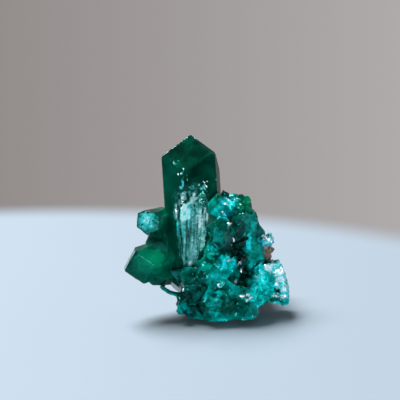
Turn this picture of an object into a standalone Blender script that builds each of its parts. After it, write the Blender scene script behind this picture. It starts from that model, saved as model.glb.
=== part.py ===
"""A dioptase specimen that stands on its own broken base.

It is one tall crystal, two short crystals on its left, a mass of smaller crystals grown together round its
foot, a turquoise druse on the right with a little druse above it, and, behind them all, a remnant of the rock
that they grew on, with three crystals of its own.

The front is -Y and up is +Z. The origin is under the middle of the specimen, on the surface that it stands on.
Places and sizes here are in millimetres, from a point near the tall crystal's foot; the finished meshes are
moved to the origin and scaled to metres. A crystal or a lump is worked out as the planes of its faces, each a
pair of an outward normal and a distance. Solids that touch keep a gap, because two meshes that met exactly
would overlap by a rounding error.
"""

import math
import random

import bmesh
import bpy
from mathutils import Matrix, Vector


def v(x, y, z):
    return Vector((x, y, z))


METRES_PER_MM = 0.001
MIDDLE = v(0.2, 0.9, 0.0)
FRONT = v(0.0, -1.0, 0.0)
UP = v(0.0, 0.0, 1.0)

GAP = 0.3
MERGE = 0.003
ON_PLANE = 1e-5
BLOCK_SIZE = 240.0
SEED = 7

# Habit of every crystal: six prism faces, ended by three rhombohedron faces that dip this far from level.
RHOMB_DIP = math.radians(50.9)
HALF_SIDE = math.radians(30)

# The tall crystal. Its radius runs from its axis to a prism edge, and its turn is away from facing front.
MAIN_FOOT = v(-1.3, -1.7, 0.0)
MAIN_TIP = v(-3.4, 4.0, 33.9)
MAIN_RADIUS = 5.85
MAIN_TURN = -7.0
MAIN_CUT_BACK = (0.0, -0.1, 0.35)
MAIN_BROKEN = [
    (v(0.9, 1.6, 31.8), v(0.76, -0.25, 0.60)),
    (v(-2.55, 4.0, 33.55), v(0.30, -0.35, 0.90)),
    (v(-7.9, -3.0, 6.6), v(-0.62, -0.15, -0.77)),
]

# What is broken off its front edge. Heights are parts of its length, and depths are inwards from the edge.
SCAR_FACING = v(-0.20, -1.0, 0.0)
SCAR_TOP = 0.70
SCAR_STEP = 0.52
SCAR_FOOT = 0.20
SCAR_DEEP = 1.5
SCAR_SHALLOW = 1.1
SCAR_LEDGE = 1.45

# The two short crystals on the left: foot, tip, radius, turn. The upper one is worn flat at its end and, there,
# above and below.
LEFT_UPPER = (v(-7.4, 3.0, 17.8), v(-12.2, -9.0, 19.5), 2.4, 44)
LEFT_UPPER_WORN = [
    (v(-10.9, -5.4, 19.0), v(-0.26, -0.95, 0.12)),
    (v(-10.9, -5.4, 20.75), v(0.10, 0.05, 1.0)),
    (v(-10.9, -5.4, 16.45), v(-0.14, 0.20, -1.0)),
]
LEFT_LOWER = (v(-2.0, 3.6, 12.4), v(-15.1, -6.4, 9.9), 3.5, 4)

# Lumps that the crystals rise from: centre, half size along each axis
LEFT_LOWER_LUMPS = [
    (v(-9.1, -2.2, 14.4), v(1.9, 2.4, 2.6)),
    (v(-8.7, -2.8, 8.0), v(3.1, 2.3, 1.7)),
]
MASS_LUMPS = [
    (v(3.4, 0.8, 14.0), v(4.6, 3.6, 7.8)),
    (v(5.4, 3.2, 13.0), v(3.4, 2.4, 5.6)),
    (v(8.6, 1.2, 11.2), v(1.8, 2.2, 6.6)),
    (v(1.2, -3.2, 5.0), v(5.0, 4.0, 5.4)),
    (v(5.4, -2.8, 3.8), v(4.0, 3.8, 4.4)),
    (v(3.6, 2.0, 5.0), v(5.0, 4.0, 5.4)),
]
TURQUOISE_LUMPS = [
    (v(11.3, -0.6, 6.6), v(2.6, 3.2, 4.0)),
    (v(10.6, -1.0, 4.2), v(2.4, 2.8, 2.4)),
    (v(13.0, -0.8, 4.4), v(2.5, 2.9, 2.6)),
    (v(13.0, -0.4, 7.2), v(2.1, 2.6, 2.5)),
]
RIM_LUMPS = [
    (v(11.6, 1.2, 13.9), v(0.9, 1.1, 1.2)),
]
ROCK_LUMPS = [
    (v(5.0, 5.6, 6.2), v(7.2, 4.0, 7.2)),
    (v(-0.5, 5.4, 3.6), v(5.0, 4.0, 4.6)),
    (v(9.0, 3.4, 8.4), v(3.3, 3.6, 6.4)),
    (v(6.5, 7.5, 10.0), v(3.2, 2.4, 3.4)),
    (v(2.0, 8.0, 4.0), v(4.0, 2.4, 3.6)),
    (v(8.6, 7.0, 3.4), v(3.0, 2.6, 3.4)),
    (v(10.6, 2.4, 11.8), v(1.5, 1.8, 2.2)),
]

# Crystals that overlap in the mass: foot, tip, radius, turn
MASS_TOP = [
    (v(7.4, 1.6, 15.0), v(6.3, 1.0, 23.1), 2.0, 40),
    (v(5.4, 3.0, 15.0), v(5.0, 2.2, 22.6), 1.6, 10),
    (v(3.9, 3.6, 15.5), v(3.5, 3.0, 23.4), 1.0, 0),
    (v(5.0, 2.0, 14.0), v(3.8, -2.9, 23.0), 2.6, 12),
    (v(1.4, -2.4, 10.0), v(1.8, -3.2, 24.0), 1.6, 40),
]
MASS_RIGHT = [
    (v(5.9, -0.6, 9.6), v(5.7, -2.6, 21.0), 1.5, 32),
    (v(8.2, 0.3, 7.0), v(7.6, -1.5, 21.3), 1.4, 10),
    (v(9.2, 0.8, 7.0), v(8.5, 0.4, 20.0), 1.55, 50),
    (v(9.8, 0.8, 8.0), v(9.9, 0.6, 17.2), 1.3, 20),
]
MASS_MIDDLE = [
    (v(1.9, -3.2, 8.0), v(2.4, -5.2, 20.6), 1.95, 25),
    (v(3.0, -2.6, 9.0), v(3.2, -4.2, 18.6), 1.7, 5),
    (v(1.2, -3.0, 6.0), v(1.0, -5.6, 15.4), 1.9, 50),
    (v(3.0, -3.0, 5.0), v(5.8, -5.6, 13.2), 2.0, 55),
    (v(1.6, -3.4, 4.6), v(2.4, -6.2, 13.6), 1.8, 20),
]
MASS_FOOT = [
    (v(0.4, -3.0, 2.4), v(-4.3, -7.1, 10.6), 2.8, 30),
    (v(0.8, -3.6, 2.2), v(-0.6, -7.5, 11.6), 2.3, 15),
    (v(0.0, -3.0, 1.0), v(-5.5, -6.3, 4.3), 2.1, 45),
    (v(-0.6, -3.0, -0.6), v(-3.4, -7.0, 3.4), 2.0, 10),
    (v(1.4, -5.0, -2.4), v(0.1, -8.8, 7.1), 2.2, 20),
    (v(3.8, -4.8, -2.4), v(3.0, -8.0, 6.0), 2.2, 75),
    (v(4.6, -3.4, -2.0), v(8.7, -6.8, 4.2), 2.5, 55),
    (v(5.6, -3.8, -2.6), v(6.6, -7.2, 3.6), 2.2, 20),
    (v(1.6, -6.6, 4.4), v(6.2, -8.6, 7.2), 1.3, 10),
    (v(4.2, -7.2, 6.4), v(9.4, -7.0, 4.6), 1.3, 30),
    (v(6.0, -2.0, 3.0), v(9.6, -4.0, 8.2), 2.1, 35),
]
MASS = MASS_TOP + MASS_RIGHT + MASS_MIDDLE + MASS_FOOT

# Small crystals on the lumps and on the crystals: how many, smallest and largest radius
TURQUOISE_CRUST = (40, 0.5, 0.85)
RIM_CRUST = (12, 0.35, 0.6)
MASS_CRUST = (70, 0.5, 1.1)
MASS_SPROUTS = (90, 0.4, 0.9)
CRUST_LOWEST = -0.45
CRUST_DEPTH = 0.85
SPROUT_DEPTH = 0.75
SMALL_LEAN = 0.5
SMALL_ROOT = 1.5

# How unevenly the faces of a lump look outwards, and how near they come to its full size
LUMP_FACES = 14
ROCK_FACES = 20
LUMP_LEAN = 0.25
LUMP_NEAREST = 0.82

# The middle of a thin curved blade at the lower left, from its free end into the mass
BLADE = [v(-9.1, -4.0, 6.9), v(-8.1, -4.4, 5.9), v(-7.0, -4.7, 5.25), v(-5.6, -4.8, 4.9), v(-3.6, -4.6, 4.9)]
BLADE_THICK = 0.5
BLADE_WIDE = 1.6
BLADE_LAP = 0.15

# Crystals that stand on the back of the rock: foot, tip, radius, turn
BACK_CRYSTALS = {
    "back_crystal_left": (v(7.8, 4.8, 8.4), v(11.0, 10.4, 12.2), 1.9, 20),
    "back_crystal_middle": (v(3.0, 6.4, 9.0), v(3.6, 10.4, 16.2), 2.3, 40),
    "back_crystal_right": (v(-1.0, 6.4, 3.6), v(-3.4, 11.8, 6.8), 2.1, 10),
}


def plane_at(point, normal):
    """The plane through a point."""
    unit = normal.normalized()
    return unit, unit.dot(point)


def frame_of(axis, facing):
    """The matrix whose Z is the axis and whose X leans towards facing."""
    z = axis.normalized()
    x = (facing - facing.dot(z) * z).normalized()
    return Matrix((x, z.cross(x), z)).transposed()


def any_way(rng):
    """A vector with parts from -1 to 1."""
    return v(*[rng.uniform(-1, 1) for _ in range(3)])


def crystal(foot, tip, radius, turn=0.0, cut_back=(0.0, 0.0, 0.0)):
    """The faces of one crystal with two ends. At turn 0 a rhomb face of its tip looks to the front. cut_back is
    how far inwards each face of the tip lies, for a tip that grew unevenly."""
    frame = frame_of(tip - foot, FRONT) @ Matrix.Rotation(math.radians(turn), 3, "Z")
    planes = []
    for side in range(6):
        angle = HALF_SIDE * (1 + 2 * side)
        normal = frame @ v(math.cos(angle), math.sin(angle), 0.0)
        planes.append((normal, normal.dot(foot) + radius * math.cos(HALF_SIDE)))
    level = math.sin(RHOMB_DIP)
    steep = math.cos(RHOMB_DIP)
    for side, inwards in enumerate(cut_back):
        angle = math.radians(120 * side)
        upper = frame @ v(level * math.cos(angle), level * math.sin(angle), steep)
        lower = frame @ v(-level * math.cos(angle), -level * math.sin(angle), -steep)
        planes.append((upper, upper.dot(tip) - inwards))
        planes.append((lower, lower.dot(foot)))
    return planes


def lump(centre, half_sizes, rng, faces=LUMP_FACES):
    """The faces of a broken lump: they look evenly in all directions, a little nearer or further by chance."""
    planes = []
    golden_angle = math.pi * (3.0 - math.sqrt(5.0))
    start = rng.uniform(0.0, 2.0 * math.pi)
    for index in range(faces):
        height = 1.0 - 2.0 * (index + 0.5) / faces
        across = math.sqrt(1.0 - height * height)
        angle = start + golden_angle * index
        even = v(across * math.cos(angle), across * math.sin(angle), height)
        normal = (even + LUMP_LEAN * any_way(rng)).normalized()
        reach = v(*[size * part for size, part in zip(half_sizes, normal)]).length
        planes.append((normal, normal.dot(centre) + reach * rng.uniform(LUMP_NEAREST, 1.0)))
    return planes


def slab(start, end, wide, thick):
    """The faces of a flat bar along a line, wide towards the front."""
    along = (end - start).normalized()
    across = (FRONT - FRONT.dot(along) * along).normalized()
    planes = [plane_at(end + along * BLADE_LAP, along), plane_at(start - along * BLADE_LAP, -along)]
    for side, size in ((across, wide), (along.cross(across), thick)):
        planes.append(plane_at(start + side * size / 2, side))
        planes.append(plane_at(start - side * size / 2, -side))
    return planes


def sprouts(rng, hosts, count, smallest, largest):
    """Small crystals that stand out of the sides of the host crystals."""
    made = []
    for _ in range(count):
        foot, tip, radius, _ = rng.choice(hosts)
        axis = (tip - foot).normalized()
        angle = rng.uniform(0.0, 2.0 * math.pi)
        out = frame_of(axis, FRONT) @ v(math.cos(angle), math.sin(angle), 0.0)
        size = rng.uniform(smallest, largest)
        root = foot.lerp(tip, rng.uniform(0.05, 0.95)) + out * radius * SPROUT_DEPTH
        grows = (out + axis * rng.uniform(-0.3, 1.0) + SMALL_LEAN * any_way(rng)).normalized()
        top = root + grows * (size * rng.uniform(1.1, 2.0) + radius * 0.2)
        made.append(crystal(root - grows * size * SMALL_ROOT, top, size, rng.uniform(0, 120)))
    return made


def crust(rng, lumps, count, smallest, largest):
    """Small crystals that stand all over the lumps, except underneath."""
    made = []
    while len(made) < count:
        centre, half_sizes = rng.choice(lumps)
        out = v(*[rng.gauss(0.0, 1.0) for _ in range(3)]).normalized()
        if out.z < CRUST_LOWEST:
            continue
        size = rng.uniform(smallest, largest)
        root = centre + v(*[half * part for half, part in zip(half_sizes, out)]) * CRUST_DEPTH
        grows = (out + SMALL_LEAN * any_way(rng) + 0.35 * UP).normalized()
        top = root + grows * size * rng.uniform(0.9, 1.5)
        made.append(crystal(root - grows * size * SMALL_ROOT, top, size, rng.uniform(0, 120)))
    return made


def mesh_of(planes, grow=0.0):
    """The closed convex mesh inside the planes, each moved outwards by grow: a block split face by face."""
    shape = bmesh.new()
    bmesh.ops.create_cube(shape, size=BLOCK_SIZE)
    for normal, distance in planes:
        bmesh.ops.bisect_plane(
            shape,
            geom=shape.verts[:] + shape.edges[:] + shape.faces[:],
            dist=ON_PLANE,
            plane_co=normal * (distance + grow),
            plane_no=normal,
            clear_outer=True,
        )
        rim = [edge for edge in shape.edges if edge.is_boundary]
        if rim:
            bmesh.ops.edgeloop_fill(shape, edges=rim)
    bmesh.ops.recalc_face_normals(shape, faces=shape.faces[:])
    mesh = bpy.data.meshes.new("convex")
    shape.to_mesh(mesh)
    shape.free()
    return mesh


def combine(mesh, others, operation):
    """The mesh after one exact Boolean with all the others at once."""
    if not others:
        return mesh
    scene = bpy.context.scene.collection
    target = bpy.data.objects.new("target", mesh)
    scene.objects.link(target)
    operands = bpy.data.collections.new("operands")
    scene.children.link(operands)
    for other in others:
        operands.objects.link(bpy.data.objects.new("operand", other))
    boolean = target.modifiers.new("combine", "BOOLEAN")
    boolean.operand_type = "COLLECTION"
    boolean.collection = operands
    boolean.operation = operation
    boolean.solver = "EXACT"
    depsgraph = bpy.context.evaluated_depsgraph_get()
    made = bpy.data.meshes.new_from_object(target.evaluated_get(depsgraph))
    for used in list(operands.objects) + [target]:
        bpy.data.objects.remove(used)
    bpy.data.collections.remove(operands)
    return made


def whole_body(mesh):
    """The mesh without the chips that a cut leaves loose: its largest connected body."""
    shape = bmesh.new()
    shape.from_mesh(mesh)
    bmesh.ops.remove_doubles(shape, verts=shape.verts[:], dist=MERGE)
    bmesh.ops.dissolve_degenerate(shape, edges=shape.edges[:], dist=MERGE)
    bmesh.ops.holes_fill(shape, edges=[edge for edge in shape.edges if edge.is_boundary])
    bmesh.ops.triangulate(shape, faces=shape.faces[:])
    left = set(shape.faces)
    bodies = []
    while left:
        body = {left.pop()}
        newest = list(body)
        while newest:
            face = newest.pop()
            beside = {other for edge in face.edges for other in edge.link_faces} & left
            left -= beside
            body |= beside
            newest.extend(beside)
        bodies.append(body)
    bodies.sort(key=lambda body: sum(face.calc_area() for face in body))
    loose = [face for body in bodies[:-1] for face in body]
    bmesh.ops.delete(shape, geom=loose, context="FACES")
    bmesh.ops.delete(shape, geom=[edge for edge in shape.edges if edge.is_wire], context="EDGES")
    shape.to_mesh(mesh)
    shape.free()
    return mesh


def box_of(mesh):
    """The lowest and highest corner of a mesh."""
    points = [vertex.co for vertex in mesh.vertices]
    return [[pick(point[axis] for point in points) for axis in range(3)] for pick in (min, max)]


def near(mesh, other):
    """Whether the boxes of two meshes meet."""
    low, high = box_of(mesh)
    other_low, other_high = box_of(other)
    return all(low[axis] <= other_high[axis] and other_low[axis] <= high[axis] for axis in range(3))


def solid(pieces, neighbours=(), cutters=()):
    """The mesh of overlapping crystals and lumps joined in one, cut flat where it stands, and kept clear of its
    neighbours by the gap. Pieces, neighbours' pieces and cutters are given as their planes."""
    joined = combine(mesh_of(pieces[0]), [mesh_of(planes) for planes in pieces[1:]], "UNION")
    away = [mesh_of(planes, GAP) for neighbour in neighbours for planes in neighbour]
    away += [mesh_of(planes) for planes in cutters]
    away.append(mesh_of([plane_at(v(0.0, 0.0, 0.0), UP)]))
    away = [mesh for mesh in away if near(mesh, joined)]
    return whole_body(combine(joined, away, "DIFFERENCE"))


def main_crystal():
    """The tall crystal, with its broken places: the right shoulder, the very tip, and the foot at the left."""
    planes = crystal(MAIN_FOOT, MAIN_TIP, MAIN_RADIUS, MAIN_TURN, MAIN_CUT_BACK)
    return planes + [plane_at(*place) for place in MAIN_BROKEN]


def scar():
    """What is broken off the tall crystal's front edge, from a ledge above its middle down to near its foot:
    a deep upper part and a shallow lower one."""
    axis = (MAIN_TIP - MAIN_FOOT).normalized()
    out = frame_of(axis, SCAR_FACING) @ v(1.0, 0.0, 0.0)
    top, step, foot = (MAIN_FOOT.lerp(MAIN_TIP, along) for along in (SCAR_TOP, SCAR_STEP, SCAR_FOOT))
    ledge = out * (MAIN_RADIUS - SCAR_LEDGE)
    upper = [
        plane_at(step + out * (MAIN_RADIUS - SCAR_DEEP), -out),
        plane_at(top + ledge, axis + out * 0.9),
        plane_at(step + ledge, -axis + out * 0.5),
    ]
    lower = [
        plane_at(step + out * (MAIN_RADIUS - SCAR_SHALLOW), -out + axis * 0.02),
        plane_at(top + axis + out * (MAIN_RADIUS - SCAR_SHALLOW), axis + out * 0.4),
        plane_at(foot, -axis),
    ]
    return [upper, lower]


def material(name, colour, roughness):
    made = bpy.data.materials.new(name)
    made.use_nodes = True
    shader = made.node_tree.nodes["Principled BSDF"]
    shader.inputs["Base Color"].default_value = (*colour, 1.0)
    shader.inputs["Roughness"].default_value = roughness
    shader.inputs["Metallic"].default_value = 0.0
    return made


def node(name, mesh, finish):
    """One named object of the specimen, moved to the origin and scaled to metres."""
    mesh.transform(Matrix.Scale(METRES_PER_MM, 4) @ Matrix.Translation(-MIDDLE))
    mesh.name = name
    mesh.materials.clear()
    mesh.materials.append(finish)
    bpy.context.scene.collection.objects.link(bpy.data.objects.new(name, mesh))


def build():
    for old in list(bpy.data.objects):
        bpy.data.objects.remove(old)
    rng = random.Random(SEED)

    green = material("dioptase_green", (0.0, 0.10, 0.055), 0.12)
    teal = material("dioptase_teal", (0.0, 0.24, 0.18), 0.3)
    turquoise = material("druse_turquoise", (0.02, 0.52, 0.50), 0.35)
    brown = material("rock_brown", (0.19, 0.12, 0.09), 0.85)

    main = [main_crystal()]
    upper = [crystal(*LEFT_UPPER) + [plane_at(*place) for place in LEFT_UPPER_WORN]]
    lower = [crystal(*LEFT_LOWER)]
    lower += [lump(*row, rng) for row in LEFT_LOWER_LUMPS]
    right = [lump(*row, rng) for row in TURQUOISE_LUMPS]
    right += crust(rng, TURQUOISE_LUMPS, *TURQUOISE_CRUST)
    rim = [lump(*row, rng) for row in RIM_LUMPS]
    rim += crust(rng, RIM_LUMPS, *RIM_CRUST)
    mass = [lump(*row, rng) for row in MASS_LUMPS]
    mass += [crystal(*row) for row in MASS]
    mass += [slab(*ends, BLADE_WIDE, BLADE_THICK) for ends in zip(BLADE, BLADE[1:])]
    mass += sprouts(rng, MASS, *MASS_SPROUTS)
    mass += crust(rng, MASS_LUMPS, *MASS_CRUST)
    rock = [lump(*row, rng, ROCK_FACES) for row in ROCK_LUMPS]

    node("main_crystal", solid(main, cutters=scar()), green)
    node("left_upper_crystal", solid(upper, [main]), green)
    node("left_lower_crystal", solid(lower, [main, upper]), green)
    node("turquoise_druse", solid(right, [main]), turquoise)
    node("crystal_mass", solid(mass, [main, upper, lower, right]), teal)
    node("rim_druse", solid(rim, [mass, right]), turquoise)
    beside_rock = [main, upper, lower, right, mass, rim]
    for name, row in BACK_CRYSTALS.items():
        one = [crystal(*row)]
        node(name, solid(one, beside_rock), green)
        beside_rock.append(one)
    node("host_rock", solid(rock, beside_rock), brown)


build()
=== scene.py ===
"""The dressed dioptase specimen: fine crystal surfaces, small crystals and materials over the solids.

Lengths are in millimetres in the solids' own frame, and each finished mesh is scaled to metres. Places in
the photograph's view are in its pixels.
"""

import math
import random

import bmesh
import bpy
import numpy as np
from mathutils import Matrix, Vector
from mathutils.bvhtree import BVHTree


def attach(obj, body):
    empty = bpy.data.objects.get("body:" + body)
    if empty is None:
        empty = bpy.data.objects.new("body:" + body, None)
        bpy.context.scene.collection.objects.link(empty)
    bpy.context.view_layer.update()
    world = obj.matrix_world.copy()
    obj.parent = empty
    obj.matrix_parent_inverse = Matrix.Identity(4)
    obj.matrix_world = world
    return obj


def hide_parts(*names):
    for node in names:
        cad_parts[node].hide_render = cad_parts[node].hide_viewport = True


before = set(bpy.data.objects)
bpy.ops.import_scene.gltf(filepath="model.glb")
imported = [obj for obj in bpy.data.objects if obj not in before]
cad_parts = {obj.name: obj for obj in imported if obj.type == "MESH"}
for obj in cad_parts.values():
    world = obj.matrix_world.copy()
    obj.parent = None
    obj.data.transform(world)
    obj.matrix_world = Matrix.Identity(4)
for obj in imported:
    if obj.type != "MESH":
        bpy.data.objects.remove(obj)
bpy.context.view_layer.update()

METRES = 0.001
# How far apart the points of a finely divided surface are, and of one that the photograph doesn't show
FINE = 0.16
COARSE = 0.25

# The photograph's view: what the camera looks at, how far it is, and how far above the level
TARGET = Vector((-1.5, -0.9, 21.9))
DISTANCE = 208.9
ELEVATION = math.radians(12.0)
LENS = 100.0
SENSOR = 36.0
PHOTO = 400.0
# Pixels of the view for each unit across at one unit away, and the view's upward and forward directions
SCALE = LENS / SENSOR * PHOTO
UP = (0.0, math.sin(ELEVATION), math.cos(ELEVATION))
AHEAD = (0.0, math.cos(ELEVATION), -math.sin(ELEVATION))


# Random numbers and noise, for many points at once


def mixed(values):
    """Whole numbers turned into well mixed ones."""
    values = values.astype(np.uint64)
    for factor in (2246822519, 3266489917):
        values = ((values ^ (values >> np.uint64(15))) * np.uint64(factor)) & np.uint64(0xFFFFFFFF)
    return values ^ (values >> np.uint64(16))


def held(values):
    """Values held between 0 and 1."""
    return np.clip(values, 0.0, 1.0)


def chances(cells, seed, count):
    """Even random numbers from 0 to 1 for rows of three whole numbers."""
    key = (cells[:, 0] * 73856093) ^ (cells[:, 1] * 19349663) ^ (cells[:, 2] * 83492791)
    key = mixed((key + seed * 97531) & 0xFFFFFFFF)
    columns = []
    for _ in range(count):
        key = mixed(key + np.uint64(0x9E3779B9))
        columns.append(key.astype(float) / 4294967296.0)
    return np.stack(columns, -1)


def noise(points, size, seed):
    """Smooth noise from -1 to 1 whose bumps are about size apart."""
    scaled = points / size + 1000.0
    whole = np.floor(scaled).astype(np.int64)
    part = scaled - whole
    part = part * part * (3.0 - 2.0 * part)
    total = np.zeros(len(points))
    for corner in np.ndindex(2, 2, 2):
        weight = np.prod(np.where(np.array(corner) == 1, part, 1.0 - part), axis=1)
        total += weight * (chances(whole + np.array(corner), seed, 1)[:, 0] * 2.0 - 1.0)
    return total


def chunks(points, size, seed):
    """The nearest of many scattered places about size apart, and six random numbers of it."""
    scaled = points / size
    base = np.floor(scaled).astype(np.int64)
    best = np.full(len(points), 1e9)
    place = np.zeros_like(points)
    cell = np.zeros_like(base)
    for step in np.ndindex(3, 3, 3):
        other = base + np.array(step) - 1
        centre = other + chances(other, seed, 3)
        far = ((scaled - centre) ** 2).sum(1)
        closer = far < best
        best[closer] = far[closer]
        place[closer] = centre[closer]
        cell[closer] = other[closer]
    return place * size, chances(cell, seed + 1, 6)


def facets(points, size, tilt, step, seed):
    """How far points move out to make tilted flat facets about size across, and a tone for each facet."""
    place, luck = chunks(points, size, seed)
    slope = (luck[:, :3] * 2.0 - 1.0) * tilt
    return ((points - place) * slope).sum(1) + (luck[:, 3] * 2.0 - 1.0) * step, luck[:, 4]


# Meshes


def arrays_of(mesh):
    """A mesh's points and point normals."""
    points = np.empty(len(mesh.vertices) * 3)
    mesh.vertices.foreach_get("co", points)
    normals = np.empty(len(mesh.vertices) * 3)
    mesh.vertices.foreach_get("normal", normals)
    return points.reshape(-1, 3), normals.reshape(-1, 3)


def seen(points):
    """Where points are in the photograph's view, in its pixels."""
    ahead = np.array(AHEAD)
    away = points - (np.array(TARGET) - ahead * DISTANCE)
    scale = SCALE / (away @ ahead)
    return PHOTO / 2 + away[:, 0] * scale, PHOTO / 2 - (away @ np.array(UP)) * scale


def facing(normals):
    """How much normals turn towards the camera: 1 when they face it, and less than nothing behind."""
    return normals @ -np.array(AHEAD)


def sight(place):
    """The line of sight through a place in the photograph's view: where it starts, and its direction."""
    ahead = Vector(AHEAD)
    across = Vector((1.0, 0.0, 0.0)) * ((place[0] - PHOTO / 2) / SCALE)
    way = ahead + across + Vector(UP) * ((PHOTO / 2 - place[1]) / SCALE)
    return TARGET - ahead * DISTANCE, way.normalized()


def tree_of(mesh):
    """A mesh's surface, to look up its places near a point or on a line."""
    corners = [vertex.co.copy() for vertex in mesh.vertices]
    return BVHTree.FromPolygons(corners, [tuple(polygon.vertices) for polygon in mesh.polygons])


def move(mesh, points):
    mesh.vertices.foreach_set("co", np.ascontiguousarray(points, dtype=np.float32).ravel())
    mesh.update()


def note(mesh, name, values):
    """A number for each point, for the material to read."""
    attribute = mesh.attributes.new(name, "FLOAT", "POINT")
    attribute.data.foreach_set("value", np.ascontiguousarray(values, dtype=np.float32))


def node_mesh(node):
    """A copy of a node's mesh, in millimetres."""
    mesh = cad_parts[node].data.copy()
    mesh.materials.clear()
    mesh.transform(Matrix.Scale(1.0 / METRES, 4))
    return mesh


def shown(name, data):
    """A new object in the scene."""
    made = bpy.data.objects.new(name, data)
    bpy.context.scene.collection.objects.link(made)
    return made


def remeshed(mesh, size):
    """The mesh as an even net of small faces."""
    scratch = shown("scratch", mesh)
    made = scratch.modifiers.new("net", "REMESH")
    made.mode = "VOXEL"
    made.voxel_size = size
    depsgraph = bpy.context.evaluated_depsgraph_get()
    result = bpy.data.meshes.new_from_object(scratch.evaluated_get(depsgraph))
    bpy.data.objects.remove(scratch)
    return result


# A crystal's faces meet at more than this angle, in degrees
SHARP = 15.0


def sharp_edges(mesh, angle):
    """The two ends of each edge where a mesh turns by more than an angle in degrees."""
    shape = bmesh.new()
    shape.from_mesh(mesh)
    edges = [edge for edge in shape.edges if edge.calc_face_angle(0.0) > math.radians(angle)]
    ends = [[np.array(vert.co) for vert in edge.verts] for edge in edges]
    shape.free()
    return ends


def drawn_to(points, edges, reach):
    """Points, with those that lie within reach of an edge moved onto it."""
    best = np.full(len(points), reach)
    drawn = points.copy()
    for start, end in edges:
        way = end - start
        along = held((points - start) @ way / (way @ way))
        onto = start + along[:, None] * way
        far = np.linalg.norm(points - onto, axis=1)
        closer = far < best
        best[closer] = far[closer]
        drawn[closer] = onto[closer]
    return drawn


def netted(mesh, size):
    """The mesh as an even net of small faces that lie on its own flat faces and keep its edges sharp."""
    tree = tree_of(mesh)
    net = remeshed(mesh, size)
    points, _ = arrays_of(net)
    points = np.array([tree.find_nearest(point)[0] for point in points])
    move(net, drawn_to(points, sharp_edges(mesh, SHARP), size * 0.8))
    return net


def closed_up(mesh, reach, size):
    """The mesh with its clefts filled where they are narrower than twice the reach, as an even net."""
    for way in (reach, -reach):
        mesh = remeshed(mesh, size)
        points, normals = arrays_of(mesh)
        move(mesh, points + normals * way)
    return remeshed(mesh, size)


def grouped(points, normals, size, seed):
    """Groups of neighbouring points of a fine net, about size across, that face about the same way."""
    rng = np.random.default_rng(seed)
    count = max(4, int(len(points) * (FINE / size) ** 2))
    key = np.hstack([points / size, normals * 0.8]).astype(np.float32)
    seeds = key[rng.choice(len(points), count, replace=False)]
    lengths = (seeds ** 2).sum(1)
    group = np.empty(len(points), int)
    for start in range(0, len(points), 5000):
        group[start:start + 5000] = (lengths - 2.0 * key[start:start + 5000] @ seeds.T).argmin(1)
    return group, count, rng


def planed(mesh, size, flat, tilt, step, seed, share=1.0):
    """Brings groups of a net's points towards tilted flat faces, and gives a tone for each point."""
    points, normals = arrays_of(mesh)
    group, count, rng = grouped(points, normals, size, seed)
    full = np.maximum(np.bincount(group, minlength=count), 1)[:, None]
    both = np.hstack([points, normals])
    means = np.stack([np.bincount(group, both[:, k], count) for k in range(6)], -1) / full
    middle, way = means[:, :3], means[:, 3:]
    way /= np.maximum(np.linalg.norm(way, axis=1), 1e-6)[:, None]
    way += rng.uniform(-tilt, tilt, (count, 3))
    away = ((points - middle[group]) * way[group]).sum(1)
    shift = rng.uniform(-step, step, count)[group] - away * flat
    points = points + way[group] * (shift * share)[:, None]
    points[:, 2] = np.maximum(points[:, 2], 0.0)
    move(mesh, points)
    return rng.random(count)[group]


def faceted(mesh, levels, coarse, seed, share=1.0):
    """Breaks a net into coarse facets and fine ones, and notes a tone for each point, coarse by a share."""
    first, second = [planed(mesh, *level, seed + index, share) for index, level in enumerate(levels)]
    note(mesh, "tone", first * coarse + (1.0 - coarse) * second)


def evened(mesh, share, rounds):
    """A net's points after each has moved by a share towards its neighbours' middle, again and again."""
    points, normals = arrays_of(mesh)
    ends = np.empty(len(mesh.edges) * 2, dtype=np.int32)
    mesh.edges.foreach_get("vertices", ends)
    first, second = ends.reshape(-1, 2).T
    count = np.maximum(np.bincount(np.append(first, second), minlength=len(points)), 1)
    for _ in range(rounds):
        for k in range(3):
            total = np.bincount(first, points[second, k], len(points))
            total += np.bincount(second, points[first, k], len(points))
            points[:, k] += (total / count - points[:, k]) * share
    return points


def hollows(mesh, rounds):
    """How far each point lies below, or above if it is negative, the evened surface round it."""
    points, normals = arrays_of(mesh)
    return ((evened(mesh, 0.8, rounds) - points) * normals).sum(1)


def undercut(mesh, height, share):
    """Draws the foot of a mesh in, below a height, so that the rest overhangs."""
    points, _ = arrays_of(mesh)
    depth = held(1.0 - points[:, 2] / height) ** 0.5
    points[:, :2] *= 1.0 - (share * depth)[:, None]
    move(mesh, points)


# The right side of the crystal mass in the photograph's view: heights, and how far right it reaches there
MASS_RIGHT = (
    (185, 192, 200, 210, 225, 232, 242, 247, 256, 264, 275),
    (300, 247, 251, 254, 259, 265, 267, 264, 263, 270, 300),
)


def held_in(mesh, limit, share):
    """Draws in what reaches too far to the right in the photograph's view, by a share of the excess."""
    points, _ = arrays_of(mesh)
    x, y = seen(points)
    excess = np.maximum(x - np.interp(y, *limit), 0.0)
    points[:, 0] -= excess * share / (SCALE / DISTANCE)
    move(mesh, points)


def squared(points, share):
    """The points of a rounded block brought nearer to its own box."""
    low, high = points.min(0), points.max(0)
    out = (points - (low + high) / 2.0) / ((high - low) / 2.0)
    swell = np.linalg.norm(out, axis=1) / np.maximum(np.abs(out).max(1), 1e-6)
    out *= (1.0 + share * (swell - 1.0))[:, None]
    return (low + high) / 2.0 + np.clip(out, -1.0, 1.0) * (high - low) / 2.0


def smooth(mesh, angle):
    """Smooth shading, but sharp at edges of more than angle degrees."""
    mesh.polygons.foreach_set("use_smooth", [True] * len(mesh.polygons))
    mesh.set_sharp_from_angle(angle=math.radians(angle))


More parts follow.
